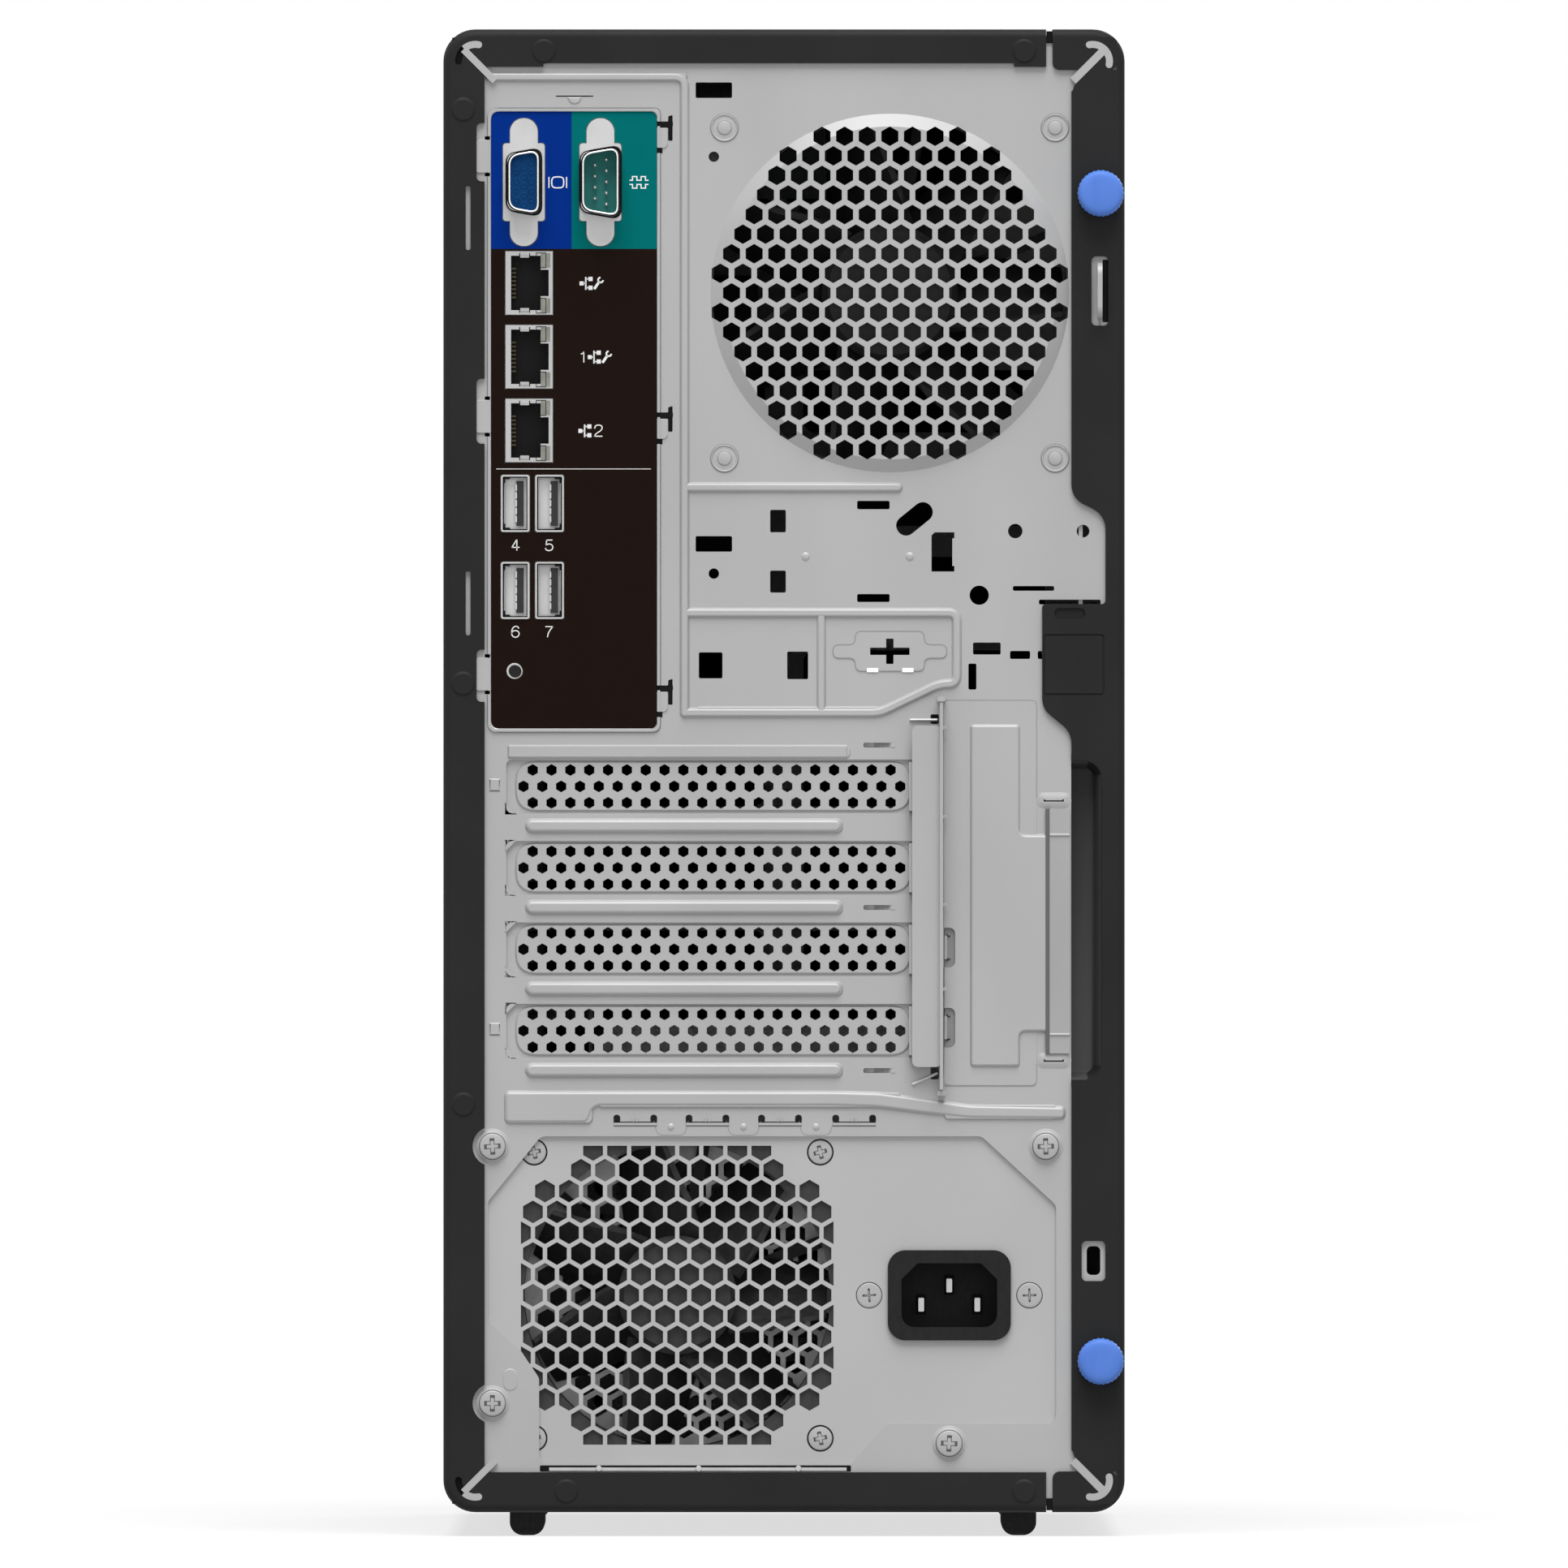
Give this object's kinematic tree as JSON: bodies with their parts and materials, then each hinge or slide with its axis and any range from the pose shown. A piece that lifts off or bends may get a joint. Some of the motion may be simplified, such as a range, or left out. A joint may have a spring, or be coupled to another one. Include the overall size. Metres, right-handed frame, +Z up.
{
  "type": "tower server",
  "caption": "Small tower server with a sliding side cover, vented rear wall, port area, expansion slots, power supply and drive cage.",
  "frame": {"origin": "on the floor under the middle of the case's bounding box", "axes": "+X right as seen from behind, +Y from the rear to the front bezel, +Z up"},
  "size_m": [0.17, 0.315, 0.376],
  "materials": {
    "black_paint": "satin",
    "zinc_steel": "satin",
    "plated_screws": "satin",
    "blue_knob": "satin",
    "label_foil": "matte",
    "connector_shell": "satin",
    "vga_blue": "satin",
    "serial_teal": "satin",
    "jack_body": "satin",
    "gold_contacts": "polished",
    "jack_lamps": "gloss",
    "fan_plastic": "satin",
    "inlet_plastic": "satin",
    "circuit_board": "satin",
    "slot_plastic": "satin",
    "cooler_aluminium": "satin",
    "drive_casting": "satin",
    "bezel_plastic": "satin",
    "foot_rubber": "matte"
  },
  "bodies": {
    "chassis": {"outer_shell": "black_paint", "rear_panel": "zinc_steel", "inner_frame": "zinc_steel", "padlock_loop": "zinc_steel", "fan_rivets": "plated_screws", "rear_fan_frame": "fan_plastic", "io_shield": "zinc_steel", "io_label": "label_foil", "vga_shell": "connector_shell", "vga_insert": "vga_blue", "serial_shell": "connector_shell", "serial_insert": "serial_teal", "serial_pins": "connector_shell", "lan_jack_1": "jack_body", "lan_jack_2": "jack_body", "lan_jack_3": "jack_body", "lan_contacts": "gold_contacts", "lan_lamps": "jack_lamps", "usb_shells": "connector_shell", "usb_tongues": "jack_body", "usb_housing": "jack_body", "id_switch": "jack_body", "slot_cover_1": "zinc_steel", "slot_cover_2": "zinc_steel", "slot_cover_3": "zinc_steel", "slot_cover_4": "zinc_steel", "psu_case": "zinc_steel", "psu_fan_frame": "fan_plastic", "psu_screws": "plated_screws", "ac_inlet": "inlet_plastic", "ac_pins": "connector_shell", "motherboard": "circuit_board", "board_standoffs": "plated_screws", "cpu_socket": "slot_plastic", "cpu_heatsink": "cooler_aluminium", "cpu_fan_frame": "fan_plastic", "card_slots": "slot_plastic", "memory_slots": "slot_plastic", "memory_modules": "circuit_board", "drive_cage": "zinc_steel", "hard_drive_1": "drive_casting", "hard_drive_2": "drive_casting", "hard_drive_3": "drive_casting", "hard_drive_4": "drive_casting", "drive_screws": "plated_screws", "front_panel": "zinc_steel", "front_bezel": "bezel_plastic", "bay_blank": "bezel_plastic", "front_board": "circuit_board", "front_usb_ports": "connector_shell", "feet": "foot_rubber"},
    "cover": {"side_cover": "black_paint"},
    "upper_thumbscrew": {"thumbscrew_upper": "blue_knob"},
    "lower_thumbscrew": {"thumbscrew_lower": "blue_knob"},
    "retainer": {"card_retainer": "zinc_steel"},
    "rear_rotor": {"rear_fan_rotor": "fan_plastic"},
    "supply_rotor": {"psu_fan_rotor": "fan_plastic"},
    "cooler_rotor": {"cpu_fan_rotor": "fan_plastic"},
    "id_plunger": {"id_button": "jack_body"},
    "power_plunger": {"power_button": "bezel_plastic"}
  },
  "joints": [
    {"name": "cover_slide", "type": "slide", "parent": "chassis", "child": "cover", "axis": [0, -1, 0], "range_m": [0, 0.014]},
    {"name": "upper_thumbscrew_turn", "type": "hinge", "parent": "cover", "child": "upper_thumbscrew", "pos_m": [0.079, -0.1505, 0.335], "axis": [0, 1, 0], "range_deg": [-2160, 0]},
    {"name": "lower_thumbscrew_turn", "type": "hinge", "parent": "cover", "child": "lower_thumbscrew", "pos_m": [0.079, -0.1505, 0.0437], "axis": [0, 1, 0], "range_deg": [-2160, 0]},
    {"name": "retainer_hinge", "type": "hinge", "parent": "chassis", "child": "retainer", "pos_m": [0.03925, -0.1508, 0.15972], "axis": [0, 0, 1], "range_deg": [0, 95]},
    {"name": "rear_fan_spin", "type": "hinge", "parent": "chassis", "child": "rear_rotor", "pos_m": [0.0264, -0.1385, 0.3102], "axis": [0, 1, 0], "continuous": true},
    {"name": "supply_fan_spin", "type": "hinge", "parent": "chassis", "child": "supply_rotor", "pos_m": [-0.02665, -0.1375, 0.06014], "axis": [0, 1, 0], "continuous": true},
    {"name": "cooler_fan_spin", "type": "hinge", "parent": "chassis", "child": "cooler_rotor", "pos_m": [-0.0166, -0.0005, 0.276], "axis": [1, 0, 0], "continuous": true},
    {"name": "id_press", "type": "slide", "parent": "chassis", "child": "id_plunger", "axis": [0, 1, 0], "range_m": [0, 0.0008], "stiffness_N_per_m": 300, "springref_m": -0.001},
    {"name": "power_press", "type": "slide", "parent": "chassis", "child": "power_plunger", "axis": [0, -1, 0], "range_m": [0, 0.0015], "stiffness_N_per_m": 400, "springref_m": -0.002}
  ]
}
